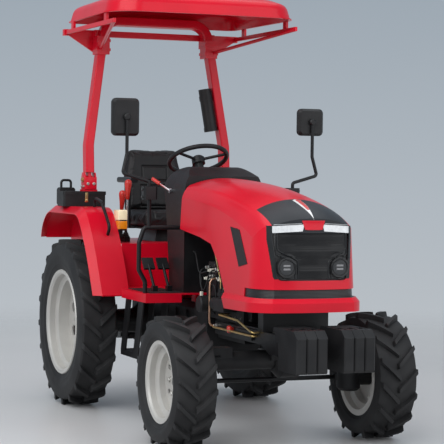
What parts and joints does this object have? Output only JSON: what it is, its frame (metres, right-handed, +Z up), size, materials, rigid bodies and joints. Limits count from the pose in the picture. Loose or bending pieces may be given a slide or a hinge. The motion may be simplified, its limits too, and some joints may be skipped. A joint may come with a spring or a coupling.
{
  "type": "farm tractor",
  "caption": "Compact four-wheel-drive farm tractor with folding roll-over frame, sun roof, opening bonnet, steered front axle, three-point hitch and hung front weights.",
  "frame": {"origin": "on the ground under the middle of the whole machine", "axes": "+X forward to the front weights, +Y to the driver's left, +Z up"},
  "size_m": [3.4082, 1.436, 2.547],
  "materials": {
    "red_paint": "glossy crimson paint",
    "black_plastic": "black moulded plastic",
    "black_steel": "satin black paint",
    "cast_black": "black painted castings",
    "tyre_rubber": "matt charcoal rubber",
    "rim_silver": "silver-grey paint",
    "lamp_lens": "clear lens, lit white",
    "amber_lens": "amber lens",
    "seat_vinyl": "black vinyl",
    "mat_rubber": "ribbed black rubber",
    "wheel_grip": "black soft plastic",
    "plated_steel": "yellow zinc plating",
    "lever_steel": "bright stem and red knob"
  },
  "bodies": {
    "chassis": {"platform": "red_paint", "fender_right": "red_paint", "fender_left": "red_paint", "rops_brackets": "red_paint", "dash_console": "black_plastic", "mirror_heads": "black_plastic", "work_lamp": "black_plastic", "rops_legs": "black_plastic", "front_frame": "black_steel", "radiator": "black_steel", "boarding_steps": "black_steel", "handrails": "black_steel", "firewall": "black_steel", "seat_base": "black_steel", "pedals": "black_steel", "grab_handles": "black_steel", "drawbar": "black_steel", "engine_block": "cast_black", "engine_fittings": "cast_black", "gearbox_housing": "cast_black", "rear_axle_housing": "cast_black", "front_axle": "cast_black", "front_weights": "cast_black", "marker_lamps": "amber_lens", "seat_cushion": "seat_vinyl", "seat_back": "seat_vinyl", "floor_mats": "mat_rubber", "hydraulic_pipes": "plated_steel", "hand_levers": "lever_steel"},
    "bonnet": {"bonnet_shell": "red_paint", "nose_panel": "black_plastic", "grille": "black_plastic", "headlamps": "lamp_lens"},
    "steering_wheel": {"steering_wheel": "wheel_grip"},
    "knuckle_right": {"knuckle_right": "cast_black"},
    "knuckle_left": {"knuckle_left": "cast_black"},
    "tie_rod": {"tie_rod": "black_steel"},
    "front_wheel_right": {"front_rim_right": "rim_silver", "front_tyre_right": "tyre_rubber"},
    "front_wheel_left": {"front_rim_left": "rim_silver", "front_tyre_left": "tyre_rubber"},
    "rear_wheel_right": {"rear_rim_right": "rim_silver", "rear_tyre_right": "tyre_rubber"},
    "rear_wheel_left": {"rear_rim_left": "rim_silver", "rear_tyre_left": "tyre_rubber"},
    "rops": {"rops_hoop": "red_paint", "canopy_frame": "red_paint", "canopy_roof": "red_paint", "document_tube": "black_plastic"},
    "lower_links": {"lower_links": "black_steel"},
    "lift_arms": {"lift_arms": "black_steel"},
    "lift_rods": {"lift_rods": "black_steel"}
  },
  "joints": [
    {"name": "rear_spin_right", "type": "hinge", "parent": "chassis", "child": "rear_wheel_right", "pos_m": [-0.82592, -0.6, 0.52], "axis": [0, 1, 0], "continuous": true},
    {"name": "rear_spin_left", "type": "hinge", "parent": "chassis", "child": "rear_wheel_left", "pos_m": [-0.82592, 0.6, 0.52], "axis": [0, 1, 0], "continuous": true},
    {"name": "steer_right", "type": "hinge", "parent": "chassis", "child": "knuckle_right", "pos_m": [0.95408, -0.44, 0.352], "axis": [0, 0, 1], "range_deg": [-40, 40]},
    {"name": "steer_left", "type": "hinge", "parent": "chassis", "child": "knuckle_left", "pos_m": [0.95408, 0.44, 0.352], "axis": [0, 0, 1], "range_deg": [-40, 40]},
    {"name": "tie_rod_pivot", "type": "hinge", "parent": "knuckle_right", "child": "tie_rod", "pos_m": [0.80408, -0.44, 0.3273], "axis": [0, 0, 1], "range_deg": [-40, 40]},
    {"name": "steering_wheel_turn", "type": "hinge", "parent": "chassis", "child": "steering_wheel", "pos_m": [-0.28092, 0, 1.552], "axis": [-0.454, 0, 0.891], "range_deg": [-480, 480]},
    {"name": "front_spin_right", "type": "hinge", "parent": "knuckle_right", "child": "front_wheel_right", "pos_m": [0.95408, -0.585, 0.352], "axis": [0, 1, 0], "continuous": true},
    {"name": "front_spin_left", "type": "hinge", "parent": "knuckle_left", "child": "front_wheel_left", "pos_m": [0.95408, 0.585, 0.352], "axis": [0, 1, 0], "continuous": true},
    {"name": "bonnet_open", "type": "hinge", "parent": "chassis", "child": "bonnet", "pos_m": [0.18708, 0, 1.422], "axis": [0, -1, 0], "range_deg": [0, 55]},
    {"name": "rops_fold", "type": "hinge", "parent": "chassis", "child": "rops", "pos_m": [-1.01592, 0, 1.415], "axis": [0, -1, 0], "range_deg": [0, 90]},
    {"name": "hitch_lift", "type": "hinge", "parent": "chassis", "child": "lower_links", "pos_m": [-0.97592, 0, 0.415], "axis": [0, 1, 0], "range_deg": [-12, 35]},
    {"name": "lift_arm_turn", "type": "hinge", "parent": "chassis", "child": "lift_arms", "pos_m": [-1.05592, 0, 0.8], "axis": [0, 1, 0], "range_deg": [-12, 35]},
    {"name": "lift_rod_swing", "type": "hinge", "parent": "lower_links", "child": "lift_rods", "pos_m": [-1.25438, 0, 0.38573], "axis": [0, 1, 0], "range_deg": [-35, 12]}
  ],
  "couplings": [
    {"joint": "steer_left", "follows": "steer_right", "ratio": 1},
    {"joint": "tie_rod_pivot", "follows": "steer_right", "ratio": -1},
    {"joint": "steering_wheel_turn", "follows": "steer_right", "ratio": 12},
    {"joint": "lift_arm_turn", "follows": "hitch_lift", "ratio": 1},
    {"joint": "lift_rod_swing", "follows": "hitch_lift", "ratio": -1}
  ]
}
